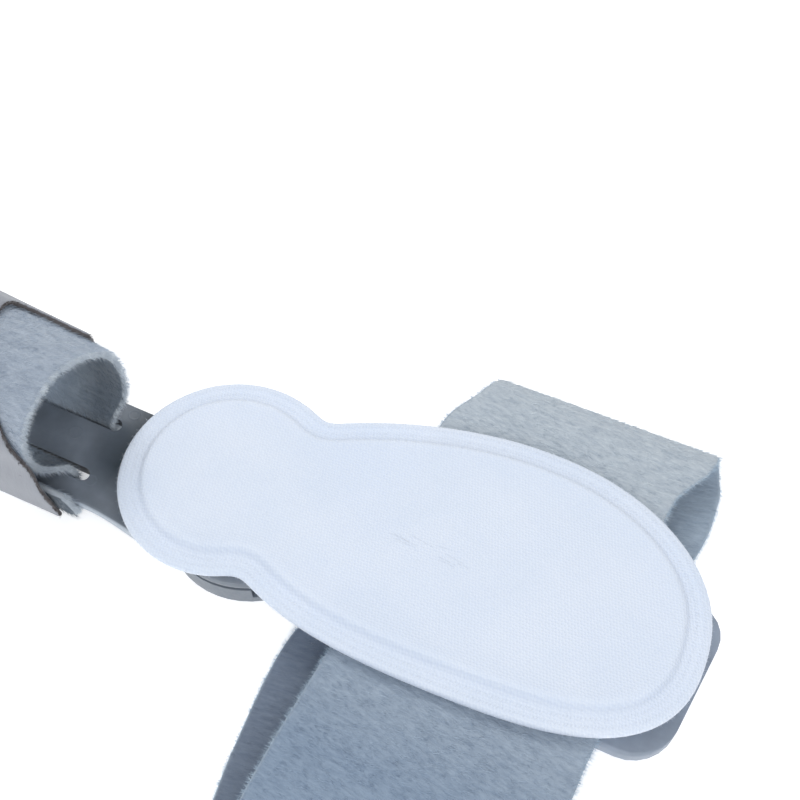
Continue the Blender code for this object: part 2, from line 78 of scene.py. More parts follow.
class Finish:
    # one material; constants go straight on the shader's own sockets
    def __init__(self, name, **constants):
        self.material = bpy.data.materials.new(name)
        self.material.use_nodes = True
        self.tree = self.material.node_tree
        self.shader = self.tree.nodes["Principled BSDF"]
        for key, value in constants.items():
            self.feed(self.shader.inputs[key.replace("_", " ")], value)

    def feed(self, socket, value):
        if isinstance(value, Sock):
            self.tree.links.new(value.out, socket)
        else:
            socket.default_value = value

    def node(self, kind, settings=None, values=None, out=0):
        made = self.tree.nodes.new("ShaderNode" + kind)
        for key, value in (settings or {}).items():
            setattr(made, key, value)
        for key, value in (values or {}).items():
            self.feed(made.inputs[key], value)
        return Sock(self, made.outputs[out])

    def part(self, vector, axis):
        return self.node("SeparateXYZ", values={0: vector}, out=axis)

    def place(self, turn=0.0, stretch=(1, 1, 1)):
        # the object's own coordinates in millimetres, turned about Z and then stretched
        own = self.node("TexCoord", out="Object")
        turned = self.node("Mapping", {"vector_type": "POINT"}, {
            "Vector": own, "Rotation": (0, 0, turn), "Scale": (1000, 1000, 1000)})
        return self.node("VectorMath", {"operation": "MULTIPLY"}, {0: turned, 1: stretch})

    def cloth(self, stretch=(1, 1, 1), shear=0.0):
        # coordinates laid along a strap: millimetres along it, across it, and which side
        own = self.node("Attribute", {"attribute_name": "cloth"}, out="Vector")
        turned = self.node("Mapping", {"vector_type": "POINT"}, {"Vector": own, "Rotation": (0, 0, shear)})
        return self.node("VectorMath", {"operation": "MULTIPLY"}, {0: turned, 1: stretch})

    def noise(self, where, scale, detail=3.0, roughness=0.55):
        return self.node("TexNoise", values={"Vector": where, "Scale": scale, "Detail": detail,
                                             "Roughness": roughness}, out="Fac")

    def span(self, value, low, high, newLow=0.0, newHigh=1.0):
        return self.node("MapRange", values={"Value": value, "From Min": low, "From Max": high,
                                             "To Min": newLow, "To Max": newHigh})

    def mix(self, factor, first, second, how="MIX"):
        def whole(colour):
            return colour if isinstance(colour, Sock) else (*colour, 1)
        return self.node("Mix", {"data_type": "RGBA", "blend_type": how},
                         {0: factor, 6: whole(first), 7: whole(second)}, out=2)

    def bump(self, height, distance, strength=1.0, under=None):
        values = {"Height": height, "Distance": distance, "Strength": strength}
        if under is not None:
            values["Normal"] = under
        return self.node("Bump", values=values)

    def done(self, **sockets):
        for key, value in sockets.items():
            self.feed(self.shader.inputs[key.replace("_", " ")], value)
        return self.material


# Colours as linear values
colours = {
    "knit": (0.77, 0.83, 0.93),
    "knitShade": (0.73, 0.80, 0.91),
    # painted shade for the knit's valleys between the loops
    "knitValleyShade": (0.52, 0.59, 0.76),
    "plush": (0.55, 0.61, 0.665),
    # painted shade on the near part of the midfoot strap's outside
    "plushShadedNear": (0.30, 0.385, 0.50),
    "plushInside": (0.37, 0.45, 0.54),
    "toePlush": (0.46, 0.52, 0.60),
    # painted shade inside the toe ring; toePlushLit below is painted light there
    "toePlushShadedInside": (0.15, 0.18, 0.215),
    "toePlushLit": (0.58, 0.66, 0.75),
    # painted shade on the layer of the midfoot strap that lies under the rest
    "plushShadedUnder": (0.20, 0.245, 0.32),
    "plushCut": (0.40, 0.50, 0.60),
    "toePlushCut": (0.60, 0.65, 0.70),
    "toePlastic": (0.175, 0.20, 0.235),
    # painted shade on the toe arm's neck, where it dips towards the pad
    "toeNeckShade": (0.03, 0.045, 0.06),
    # painted light on the toe plate's near side face
    "toeSideLit": (0.42, 0.47, 0.53),
    "slotShade": (0.02, 0.022, 0.026),
    "footPlastic": (0.28, 0.325, 0.395),
    "drumPlastic": (0.185, 0.21, 0.245),
    "tab": (0.28, 0.295, 0.33),
    "thread": (0.82, 0.87, 0.95),
    "stitch": (0.80, 0.85, 0.93),
    "darkThread": (0.11, 0.10, 0.10),
}


# pitches in millimetres; sway is how far a row of loops wanders with the next column
knitLook = {"turn": math.radians(32), "columns": 1.05, "rows": 0.8, "sway": 0.6, "relief": 0.16 * mm,
            "valleyShade": 0.22, "roughness": (0.5, 0.7)}


def knitFinish():
    knit = Finish("padKnit", Roughness=0.62, Sheen_Weight=0.25, Sheen_Roughness=0.45,
                  Subsurface_Weight=0.25, Subsurface_Radius=(1.0, 1.0, 1.0), Subsurface_Scale=1.8 * mm)
    where = knit.place(turn=knitLook["turn"])
    across, along = knit.part(where, "X"), knit.part(where, "Y")
    column = knit.node("Math", {"operation": "SINE"}, {0: across * (2 * math.pi / knitLook["columns"])})
    row = knit.node("Math", {"operation": "SINE"},
                    {0: along * (2 * math.pi / knitLook["rows"]) + column * knitLook["sway"]})
    loops = column * row * 0.5 + 0.5
    patchy = knit.noise(where, 0.05, 2.0)
    fine = knit.noise(where, 2.6, 3.0)
    colour = knit.mix(knit.span(patchy, 0.35, 0.65), colours["knit"], colours["knitShade"])
    # painted shade darkens the knit's valleys between the loops
    colour = knit.mix(knit.span(loops, 0.2, 0.9, knitLook["valleyShade"], 0.0), colour, colours["knitValleyShade"])
    normal = knit.bump(loops * 0.7 + fine * 0.3, knitLook["relief"], 0.8)
    return knit.done(Base_Color=colour, Normal=normal,
                     Roughness=knit.span(fine, 0.3, 0.7, *knitLook["roughness"]))


# shades multiply the strap's own tone; the side runs from -3 on the inner face to 3 on the outer one
plushLook = {"streakDark": (0.60, 0.64, 0.70), "streakLight": (1.18, 1.16, 1.13), "clump": (0.95, 0.95, 0.95),
             "fibreDark": (0.78, 0.82, 0.87), "fibreLight": (1.40, 1.36, 1.30), "fibreLean": -0.12,
             "relief": 0.6 * mm, "cutSide": (1.6, 2.8), "faceSide": (-1.0, 1.0)}


def plushTone(plush, look):
    # outside, the pile turns from one tone to the other along the strap; inside it turns along or across
    # it, and the cut edges have a tone of their own; these turns carry painted shade, and painted light
    # inside the toe ring
    side = plush.part(plush.cloth(), "Z")
    outer = plush.mix(plush.span(plush.part(plush.cloth(), "X"), *look["turnsAt"]),
                      look["away"], look["towards"])
    inner = plush.mix(plush.span(plush.part(plush.cloth(), look["insideAxis"]), *look["insideTurnsAt"]),
                      look["insideStart"], look["inside"])
    faces = plush.mix(plush.span(side, *plushLook["faceSide"]), inner, outer)
    depth = plush.node("Math", {"operation": "ABSOLUTE"}, {0: side})
    return plush.mix(plush.span(depth, *plushLook["cutSide"]), look["cut"], faces)


def plushFinish(name, look):
    plush = Finish(name, Roughness=0.95, Sheen_Weight=0.3, Sheen_Roughness=0.5, Specular_IOR_Level=0.2)
    streaks = plush.noise(plush.cloth((0.9, 0.18, 1.0), look["lean"]), 1.6, 5.0, 0.7)
    clumps = plush.noise(plush.cloth((0.12, 0.07, 1.0), look["lean"]), 1.0, 3.0)
    fine = plush.noise(plush.cloth((4.0, 0.9, 1.0), look["lean"]), 1.5, 4.0, 0.7)
    shade = plush.mix(plush.span(streaks, 0.3, 0.7), plushLook["streakDark"], plushLook["streakLight"])
    shade = plush.mix(plush.span(clumps, 0.3, 0.7, 0.2, 0.6), shade, plushLook["clump"])
    normal = plush.bump(streaks * 0.6 + fine * 0.4, plushLook["relief"], 0.8)
    return plush.done(Base_Color=plush.mix(1.0, plushTone(plush, look), shade, "MULTIPLY"), Normal=normal)


def fibreFinish(name, look):
    fibre = Finish(name, Roughness=0.85, Sheen_Weight=0.3, Sheen_Roughness=0.5, Specular_IOR_Level=0.2)
    clumps = fibre.noise(fibre.cloth((0.9, 0.25, 1.0), plushLook["fibreLean"]), 1.2, 3.0)
    shade = fibre.mix(fibre.span(clumps, 0.3, 0.7), plushLook["fibreDark"], plushLook["fibreLight"])
    return fibre.done(Base_Color=fibre.mix(1.0, plushTone(fibre, look), shade, "MULTIPLY"))


# spans along X and Y, and moulded circles as x, y and radius, all in millimetres on the toe arm
# the neck spans place painted shade, the side span painted light on the near side face, and the slot spans
# painted shade on the slot walls
toeLook = {"neckShadeX": (-42.0, -33.0), "neckShadeY": (-12.0, -4.0), "neckShadeLeast": 0.1, "drumX": (-20.0, -17.0),
           "litSideY": (-11.5, -12.5), "slotY": (-11.5, -10.5), "slotX": (-30, -32), "facingAway": (-0.6, -0.9),
           "circles": ((-45.6, -1.0, 1.5), (-36.0, -9.5, 1.2), (-36.9, 9.3, 1.2)),
           "circleWidth": (0.3, 0.25), "circleRelief": 3.0, "circleTone": 0.25}
mouldedLook = {"darker": 0.82, "lighter": 1.16, "relief": 0.04 * mm, "shine": (-0.07, 0.12)}


def plasticFinish(name, base, roughness, drumEnd=None):
    # drumEnd is given for the toe arm alone: the tone of its drum, which is lighter than its plate
    plastic = Finish(name, Roughness=roughness, Specular_IOR_Level=0.45)
    where = plastic.place()
    mottle = plastic.noise(where, 0.12, 4.0, 0.6)
    grain = plastic.noise(where, 9.0, 3.0, 0.6)
    rub = plastic.noise(plastic.place(0.4, (0.3, 2.2, 1.0)), 0.6, 5.0, 0.7)
    darker = tuple(c * mouldedLook["darker"] for c in base)
    lighter = tuple(min(c * mouldedLook["lighter"], 1.0) for c in base)
    colour = plastic.mix(plastic.span(mottle, 0.3, 0.7), darker, lighter)
    height = grain
    if drumEnd:
        colour, height = toeArmPaintedLightAndMarks(plastic, where, colour, height, lighter)
        colour = plastic.mix(plastic.span(plastic.part(where, "X"), *toeLook["drumX"]), colour, drumEnd)
    low, high = mouldedLook["shine"]
    shine = plastic.span(rub, 0.35, 0.7, roughness + low, roughness + high)
    return plastic.done(Base_Color=colour, Roughness=shine,
                        Normal=plastic.bump(height, mouldedLook["relief"], 0.5))


def toeArmPaintedLightAndMarks(plastic, where, colour, height, lighter):
    # painted shade on the neck, painted light that makes the near side face paler, painted shade on the slot
    # walls and faint moulded circles
    along, across = plastic.part(where, "X"), plastic.part(where, "Y")
    towards = plastic.part(plastic.node("NewGeometry", out="Normal"), "Y")
    # painted shade on the neck, weaker on its near side
    neckShade = plastic.span(along, *toeLook["neckShadeX"])
    neckShade = neckShade * plastic.span(across, *toeLook["neckShadeY"], toeLook["neckShadeLeast"])
    colour = plastic.mix(neckShade, colour, colours["toeNeckShade"])
    facing = plastic.span(towards, *toeLook["facingAway"])
    # painted light makes the plate's near side face paler
    colour = plastic.mix(facing * plastic.span(across, *toeLook["litSideY"]), colour, colours["toeSideLit"])
    wall = facing * plastic.span(across, *toeLook["slotY"]) * plastic.span(along, *toeLook["slotX"])
    colour = plastic.mix(wall, colour, colours["slotShade"])
    level = plastic.node("VectorMath", {"operation": "MULTIPLY"}, {0: where, 1: (1, 1, 0)})
    within, past = toeLook["circleWidth"]
    for x, y, radius in toeLook["circles"]:
        away = plastic.node("VectorMath", {"operation": "DISTANCE"}, {0: level, 1: (x, y, 0)}, out="Value")
        circle = plastic.span(away, radius - within, radius) * plastic.span(away, radius + past, radius)
        height = height + circle * toeLook["circleRelief"]
        colour = plastic.mix(circle * toeLook["circleTone"], colour, lighter)
    return colour, height


tabLook = {"darker": 0.9, "lighter": 1.1, "relief": 0.12 * mm, "ragged": 5.0, "cutSide": (4.2, 4.8)}


def tabFinish():
    # smooth back with fine lines along it and a dark ragged cut
    cloth = Finish("tabCloth", Roughness=0.6, Sheen_Weight=0.15, Specular_IOR_Level=0.35)
    lines = cloth.noise(cloth.cloth((0.25, 7.0, 1.0)), 1.1, 3.0, 0.6)
    weave = cloth.noise(cloth.cloth((5.0, 5.0, 1.0)), 1.2, 2.0)
    darker, lighter = (tuple(c * tabLook[key] for c in colours["tab"]) for key in ("darker", "lighter"))
    colour = cloth.mix(cloth.span(lines, 0.3, 0.7), darker, lighter)
    ragged = cloth.noise(cloth.cloth((1.0, 1.0, 0.4)), 1.1, 4.0, 0.75)
    depth = cloth.node("Math", {"operation": "ABSOLUTE"}, {0: cloth.part(cloth.cloth(), "Z")})
    depth = depth + ragged * tabLook["ragged"]
    colour = cloth.mix(cloth.span(depth, *tabLook["cutSide"]), colours["darkThread"], colour)
    return cloth.done(Base_Color=colour,
                      Normal=cloth.bump(lines * 0.6 + weave * 0.4, tabLook["relief"], 0.6))


def threadFinish(name, colour):
    thread = Finish(name, Roughness=0.8, Specular_IOR_Level=0.2)
    twist = thread.noise(thread.place(0.6), 3.0, 2.0)
    shade = thread.mix(thread.span(twist, 0.35, 0.65), tuple(c * 0.8 for c in colour), colour)
    return thread.done(Base_Color=shade, Normal=thread.bump(twist, 0.05 * mm, 0.5))


# Mesh helpers
weldGap = 0.002 * mm


def newPiece(name, points, faces, material, smooth=True, tidy=False):
    # a mesh object in the scene; tidy joins doubled points and turns every face outwards
    mesh = bpy.data.meshes.new(name)
    mesh.from_pydata(np.asarray(points).tolist(), [], [list(map(int, face)) for face in faces])
    if tidy:
        work = bmesh.new()
        work.from_mesh(mesh)
        bmesh.ops.remove_doubles(work, verts=work.verts, dist=weldGap)
        bmesh.ops.recalc_face_normals(work, faces=work.faces)
        work.to_mesh(mesh)
        work.free()
    mesh.materials.append(material)
    if smooth:
        mesh.shade_smooth()
    item = bpy.data.objects.new(name, mesh)
    bpy.context.scene.collection.objects.link(item)
    return item


def smoothRows(rows, steps):
    # a smooth curve through the rows of a table
    rows = np.asarray(rows, float)
    padded = np.vstack([rows[:1], rows, rows[-1:]])
    t = (np.arange(steps) / steps)[:, None]
    runs = []
    for i in range(len(rows) - 1):
        a, b, c, d = padded[i:i + 4]
        runs.append(0.5 * (2 * b + (c - a) * t + (2 * a - 5 * b + 4 * c - d) * t ** 2
                           + (3 * b - a - 3 * c + d) * t ** 3))
    return np.vstack(runs + [rows[-1:]])


def latticeNoise(u, v, seed):
    # smooth random values on a unit lattice, from -1 to 1
    size = 256
    grid = np.random.default_rng(seed).uniform(-1, 1, (size, size))
    iu, iv = np.floor(u).astype(int), np.floor(v).astype(int)
    fu, fv = u - iu, v - iv
    fu, fv = fu * fu * (3 - 2 * fu), fv * fv * (3 - 2 * fv)
    a, b = grid[iu % size, iv % size], grid[(iu + 1) % size, iv % size]
    c, d = grid[iu % size, (iv + 1) % size], grid[(iu + 1) % size, (iv + 1) % size]
    return (a * (1 - fu) + b * fu) * (1 - fv) + (c * (1 - fu) + d * fu) * fv


sideScale = 3     # the side value of a strap's outer face


def layStrip(table, outward, spacing, place=Matrix.Identity(4), flare=0.0):
    # rows of y, z and both edges in x become even samples; outward says which side the normal shows,
    # and flare makes a strip on the toe plate stand taller towards the toe
    path = smoothRows(table, 12)
    walked = np.concatenate([[0], np.cumsum(np.hypot(np.diff(path[:, 0]), np.diff(path[:, 1])))])
    along = np.linspace(0, walked[-1], int(walked[-1] / spacing) + 1)
    y, z, left, right = (np.interp(along, walked, path[:, i]) for i in range(4))
    ty, tz = np.gradient(y), np.gradient(z)
    size = np.hypot(ty, tz)
    ty, tz = ty / size, tz / size
    rise = flare * np.maximum(z - 2 * toeStrap["thick"], 0) / toeStrap["width"]
    return {"s": along, "y": y, "z": z, "left": left, "right": right, "ty": ty, "tz": tz, "rise": rise,
            "ny": -tz * outward, "nz": ty * outward, "place": np.array(place)}


def onStrip(strip, s, x, lift):
    # points at a distance s along the strip, at x, lifted off its middle surface
    y, z, ny, nz, rise = (np.interp(s, strip["s"], strip[key]) for key in ("y", "z", "ny", "nz", "rise"))
    z = z - rise * (x + toeStrap["start"])
    flat = np.stack([x, y + ny * lift, z + nz * lift, np.ones_like(x)], -1)
    return (flat @ strip["place"].T)[..., :3]


def stripWay(strip, s, alongShare, acrossShare, liftShare):
    # unit directions made of the run, the width and the normal of the strip at s
    ty, tz, ny, nz = (np.interp(s, strip["s"], strip[key]) for key in ("ty", "tz", "ny", "nz"))
    way = np.stack([acrossShare + 0 * s, ty * alongShare + ny * liftShare,
                    tz * alongShare + nz * liftShare], -1)
    way = way @ strip["place"][:3, :3].T
    return way / np.linalg.norm(way, axis=-1, keepdims=True)


# size across the strap and along it: tufts of the pile, and slow waves in the cloth
clothRelief = {"tuft": (1.9 * mm, 0.45 * mm), "tuftLean": 0.12, "tuftShare": 0.6, "wave": (9 * mm, 7 * mm),
               "waveShare": 0.5}


def skinStrip(name, strip, look, material, seed):
    # a closed cloth wall with round edges; ripple is how far its pile stands unevenly
    thick, half = look["thick"], look["thick"] / 2
    flat = int(np.mean(strip["right"] - strip["left"]) / look["pitch"])
    turns = np.radians([60, 30, 0, -30, -60])
    section = [(i / flat, 0.0, 1.0) for i in range(flat + 1)]
    section += [(1.0, math.cos(a), math.sin(a)) for a in turns]
    section += [(1 - i / flat, 0.0, -1.0) for i in range(flat + 1)]
    section += [(0.0, -math.cos(a), math.sin(a)) for a in turns[::-1]]
    share, edge, side = (np.array(column)[None, :] for column in zip(*section))
    left, right, s = (strip[key][:, None] for key in ("left", "right", "s"))
    x = left + half + share * (right - left - thick) + edge * half
    lean, (tuftX, tuftS), (waveX, waveS) = (clothRelief[key] for key in ("tuftLean", "tuft", "wave"))
    rough = latticeNoise((x - lean * s) / tuftX, (s + lean * x) / tuftS, seed)
    waves = latticeNoise(x / waveX, s / waveS, seed + 1)
    uneven = clothRelief["tuftShare"] * rough + clothRelief["waveShare"] * waves
    lift = side * (half + look["ripple"] * uneven)
    points = onStrip(strip, s + 0 * x, x, lift).reshape(-1, 3)
    points[:, 2] = np.maximum(points[:, 2], 0.0)      # it lies on the floor and not in it
    rings, around = x.shape
    first = np.arange(rings - 1)[:, None] * around + np.arange(around)[None, :]
    second = np.arange(rings - 1)[:, None] * around + (np.arange(around) + 1)[None, :] % around
    quads = np.stack([first, second, second + around, first + around], -1).reshape(-1, 4)
    faces = [*quads, np.arange(around)[::-1], np.arange(around) + (rings - 1) * around]
    piece = newPiece(name, points, faces, material)
    layCloth(piece, np.stack([s / mm + 0 * x, (x - left) / mm, sideScale * side + 0 * x], -1))
    return piece


def layCloth(piece, cloth):
    # millimetres along the strap and across it, and the side, which the cloth finishes read
    piece.data.attributes.new("cloth", "FLOAT_VECTOR", "POINT").data.foreach_set("vector", cloth.ravel())


def spikes(name, roots, ways, lengths, girth, material, cloth=None):
    # one closed three-sided fibre for each root, all in one mesh
    rng = np.random.default_rng(len(roots))
    aside = np.cross(ways, rng.normal(size=roots.shape))
    aside /= np.linalg.norm(aside, axis=1, keepdims=True)
    other = np.cross(ways, aside)
    angles = np.radians([0, 120, 240])
    base = [roots + girth * (math.cos(a) * aside + math.sin(a) * other) for a in angles]
    points = np.stack([*base, roots + ways * lengths[:, None]], 1).reshape(-1, 3)
    start = np.arange(len(roots))[:, None, None] * 4
    faces = (start + np.array([[0, 2, 1], [0, 1, 3], [1, 2, 3], [2, 0, 3]])[None]).reshape(-1, 3)
    piece = newPiece(name, points, faces, material, smooth=False)
    if cloth is not None:
        layCloth(piece, np.repeat(cloth, 4, axis=0))
    return piece


def stitches(name, starts, ends, girth, material):
    # one closed thread, thick in the middle, between each start and its end
    starts, ends = np.asarray(starts, float), np.asarray(ends, float)
    ways = ends - starts
    ways = ways / np.linalg.norm(ways, axis=1, keepdims=True)
    aside = np.cross(ways, [0.02, 0.03, 1.0])
    aside /= np.linalg.norm(aside, axis=1, keepdims=True)
    other = np.cross(ways, aside)
    near, far = 0.8 * starts + 0.2 * ends, 0.2 * starts + 0.8 * ends
    ring = [math.cos(a) * aside + math.sin(a) * other for a in np.radians([0, 72, 144, 216, 288])]
    points = [starts] + [near + girth * r for r in ring] + [far + girth * r for r in ring] + [ends]
    each = len(points)
    points = np.stack(points, 1).reshape(-1, 3)
    first, second = range(1, 6), range(6, 11)
    faces = [[0, first[(i + 1) % 5], first[i]] for i in range(5)]
    faces += [[each - 1, second[i], second[(i + 1) % 5]] for i in range(5)]
    faces += [[first[i], first[(i + 1) % 5], second[(i + 1) % 5], second[i]] for i in range(5)]
    every = [[each * thread + i for i in face] for thread in range(len(starts)) for face in faces]
    return newPiece(name, points, every, material, tidy=True)


# share of the thickness at which fibres root, and how the fibres of the cut edges stand
edgePile = {"rooted": 0.94, "inset": 0.35 * mm, "spread": 0.4, "length": 0.8, "scatter": 0.5}
pressedUnder = 0.02 * mm    # no fibre reaches below this height


def napOn(name, strip, thick, nap, material, seed):
    # pile fibres over a strip: brushed across it, and standing out of its cut edges
    rng = np.random.default_rng(seed)
    parts = []
    for side, count in ((1, nap["outer"]), (-1, nap["inner"])):
        s = rng.uniform(strip["s"][0], strip["s"][-1], count)
        left, right = (np.interp(s, strip["s"], strip[key]) for key in ("left", "right"))
        x = rng.uniform(left, right)
        lift = side * thick / 2 * np.ones(count)
        lengths = rng.uniform(nap["short"], nap["long"], count)
        rise = rng.uniform(*nap["rise"], count)
        lean = nap["lean"] + rng.normal(0, nap["scatter"], count)
        ways = stripWay(strip, s, np.sin(lean), np.cos(lean), side * rise)
        roots = onStrip(strip, s, x, lift * edgePile["rooted"])
        parts.append((roots, ways, lengths, s, x - left, side + 0 * s))
    for edge, sign in (("left", -1), ("right", 1)):
        count = nap["edgeCount"]
        s = rng.uniform(strip["s"][0], strip["s"][-1], count)
        x = np.interp(s, strip["s"], strip[edge]) - sign * edgePile["inset"]
        lift = rng.uniform(-edgePile["spread"], edgePile["spread"], count) * thick
        lengths = rng.uniform(nap["short"], nap["long"], count) * edgePile["length"]
        scatter = edgePile["scatter"]
        ways = stripWay(strip, s, rng.normal(0, scatter, count), sign * np.ones(count),
                        rng.normal(0, scatter, count))
        parts.append((onStrip(strip, s, x, lift), ways, lengths, s, 0 * s, 0 * s))
    roots, ways, lengths, s, x, side = (np.concatenate(column) for column in zip(*parts))
    # pile under the strap is pressed flat on what it lies on, so it isn't made
    kept = (roots[:, 2] > pressedUnder) & (roots[:, 2] + ways[:, 2] * lengths > pressedUnder)
    roots, ways, lengths, s, x, side = (a[kept] for a in (roots, ways, lengths, s, x, side))
    cloth = np.stack([s / mm, x / mm, sideScale * side], -1)
    return spikes(name, roots, ways, lengths, nap["girth"], material, cloth)


# Gel pad: outline by formula, flange, ridge and dished middle
pad = {
    "headRadius": 24.1 * mm, "headX": -7.6 * mm, "headY": 3.0 * mm,
    "bodyX": 51.5 * mm, "bodyHalfWidth": 30 * mm, "toeAxis": 61 * mm, "endX": 98.2 * mm,
    "bow": 4.2 * mm, "bowStart": -5 * mm, "bowLength": 130 * mm,
    "headFullness": 2.0, "endFullness": 2.35, "waistSharpness": 20,
    "around": 2400, "notchSoftening": 5, "fill": 0.9,
    "ribPitch": 1.0 * mm, "ribHeight": 0.022 * mm, "ribMiddle": 4.6, "ribReach": 4.4,
    "innerPitch": 0.9 * mm, "rowStep": 0.866, "innerMargin": 0.6,
}
# loose threads out of the pad's edge
padFringe = {"count": 1600, "inset": 0.2 * mm, "height": (0.5, 1.7), "length": (0.3, 0.9), "girth": 0.03 * mm,
             "sideways": 0.9, "upwards": 0.3}
# overlock dashes in two rows: depth in from the outline, reach and height; the shift, slant and scatter
# are counted in points of the outline
padSeam = {"pitch": 0.75 * mm, "rows": ((1.5 * mm, 0.7 * mm, 1.95 * mm), (3.1 * mm, 0.8 * mm, 1.77 * mm)),
           "rowShift": 3, "slant": 4, "scatter": 0.5, "girth": 0.035 * mm}
# snagged threads: ranges of place and length in millimetres, mean and spread of their way in degrees
padSnags = {"count": 9, "x": (30, 46), "y": (2.0, 6.5), "way": (-6, 4), "length": (2.0, 7),
            "height": 2.54 * mm}
# distance in from the outline and height over the pad's underside, in mm
padRim = ((0.45, 0.0), (0.12, 0.25), (0.0, 0.8), (0.05, 1.35), (0.3, 1.75), (0.8, 1.93), (1.5, 1.93),
          (2.4, 1.82), (3.4, 1.72), (4.2, 1.74), (4.8, 1.95), (5.15, 2.4), (5.5, 2.88), (5.9, 3.14),
          (6.4, 3.2), (7.2, 3.08), (8.2, 2.9), (9.5, 2.74), (11.2, 2.6), (13.0, 2.52))


def padHalfWidth(x):
    head = math.sqrt(max(pad["headRadius"] ** 2 - (x - pad["headX"]) ** 2, 0))
    if x < pad["headX"]:
        return head
    if x < pad["bodyX"]:
        share, power = (pad["bodyX"] - x) / pad["toeAxis"], pad["headFullness"]
    else:
        share, power = (x - pad["bodyX"]) / (pad["endX"] - pad["bodyX"]), pad["endFullness"]
    body = pad["bodyHalfWidth"] * max(1 - share ** power, 0) ** (1 / power)
    sharp = pad["waistSharpness"]
    return (head ** sharp + body ** sharp) ** (1 / sharp)


def padMidline(x):
    share = max(x - pad["bowStart"], 0) / pad["bowLength"]
    return pad["headY"] + pad["bow"] * math.sin(math.pi * share) ** 2


def padOutline():
    # even points around the pad, anticlockwise from above, with the notches softened
    steps, start = 900, pad["headX"] - pad["headRadius"]
    places = [start + (pad["endX"] - start) * (1 - math.cos(math.pi * i / steps)) / 2
              for i in range(steps + 1)]
    near = [(x, padMidline(x) - padHalfWidth(x)) for x in places]
    far = [(x, padMidline(x) + padHalfWidth(x)) for x in reversed(places)]
    loop = np.array(near[:-1] + far)
    walked = np.concatenate([[0], np.cumsum(np.hypot(*np.diff(loop, axis=0).T))])
    even = np.linspace(0, walked[-1], pad["around"], endpoint=False)
    loop = np.stack([np.interp(even, walked, loop[:, i]) for i in range(2)], -1)
    for _ in range(pad["notchSoftening"]):
        loop = (np.roll(loop, 4, 0) + loop + np.roll(loop, -4, 0)) / 3
    return loop, walked[-1]


def padFrame():
    # the outline, the directions into the pad from it, its length and the pad's underside
    loop, girth = padOutline()
    way = np.roll(loop, -3, 0) - np.roll(loop, 3, 0)
    way /= np.linalg.norm(way, axis=1, keepdims=True)
    return loop, np.stack([-way[:, 1], way[:, 0]], -1), girth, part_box("gel_pad")[0].z


def padRings(loop, inward, girth, bottom):
    # the rim's rings, from the underside over the ridge to the dished middle, with fine ribs across them
    turns = np.arange(len(loop)) / len(loop) * round(girth / pad["ribPitch"])
    ribs = np.cos(2 * math.pi * turns) + latticeNoise(turns * 0.6, turns * 0, 9)
    rings = []
    for depth, height in padRim:
        share = max(0.0, 1 - abs(depth - pad["ribMiddle"]) / pad["ribReach"]) if height > 1 else 0.0
        z = bottom + height * mm + pad["ribHeight"] * ribs * share ** 0.5
        rings.append(np.column_stack([loop + inward * depth * mm, z]))
    return rings


def fillRing(ring):
    # even points and triangles inside the innermost ring
    inner = ring[::2]
    low, high = inner.min(0), inner.max(0)
    pitch, rowPitch = pad["innerPitch"], pad["innerPitch"] * pad["rowStep"]
    grid = [(low[0] + pitch * (i + 0.5 * (j % 2)), low[1] + rowPitch * j)
            for i in range(int((high[0] - low[0]) / pitch) + 1)
            for j in range(int((high[1] - low[1]) / rowPitch) + 1)]
    inside = [Vector(p) for p in grid if insideLoop(p, inner, pitch * pad["innerMargin"])]
    border = [(i, (i + 1) % len(ring)) for i in range(len(ring))]
    flat = [Vector(p[:2]) for p in ring] + inside
    made, _, tris = delaunay_2d_cdt(flat, border, [], 1, 0.000001, False)[:3]
    made = np.array([(p.x, p.y, ring[0][2]) for p in made])
    return made, [tri for tri in tris if insideLoop(made[tri, :2].mean(0), ring, 0)]


def makePad(material, loop, inward, girth, bottom):
    rings = padRings(loop, inward, girth, bottom)
    count = len(loop)
    first = np.arange(count)
    second = (first + 1) % count
    quads = np.stack([first, second, second + count, first + count], -1)
    faces = [quad for i in range(len(rings) - 1) for quad in (quads + i * count).tolist()]
    made, tris = fillRing(rings[-1])
    faces += [[len(rings) * count + i for i in tri] for tri in tris]
    faces.append(list(range(count))[::-1])
    return newPiece("pad_cover", np.vstack([*rings, made]), faces, material, tidy=True)


def insideLoop(point, loop, margin):
    # inside the loop of points and at least margin from it
    x, y = point
    a, b = loop[:, :2], np.roll(loop[:, :2], -1, 0)
    crosses = (a[:, 1] > y) != (b[:, 1] > y)
    a0, b0 = a[crosses], b[crosses]
    at = a0[:, 0] + (y - a0[:, 1]) * (b0[:, 0] - a0[:, 0]) / (b0[:, 1] - a0[:, 1])
    if np.sum(at > x) % 2 == 0:
        return False
    return float(np.min(np.hypot(a[:, 0] - x, a[:, 1] - y))) > margin


# Wide midfoot strap: a closed loop lying flat, its ends lapped inside the near fold
midfoot = {"thick": 1.8 * mm, "width": 54 * mm, "middle": 56.5 * mm, "gap": 0.3 * mm,
           "plateTop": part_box("foot_arm")[1].z, "pitch": 0.9 * mm, "spacing": 0.45 * mm, "ripple": 0.16 * mm}
midfootNap = {"short": 0.8 * mm, "long": 2.0 * mm, "girth": 0.055 * mm, "rise": (0.10, 0.55),
              "lean": -0.12, "scatter": 0.25, "outer": 34000, "inner": 9000, "edgeCount": 3500}
# where the tones turn, in millimetres along the strap; painted shade darkens the outside on the strap's near
# part and the inside on the layer lying under the strap
midfootLook = {"away": colours["plushShadedNear"], "towards": colours["plush"], "turnsAt": (43, 93),
               "insideStart": colours["plushInside"], "inside": colours["plushShadedUnder"],
               "insideTurnsAt": (160, 185), "insideAxis": "X", "cut": colours["plushCut"], "lean": -0.12}


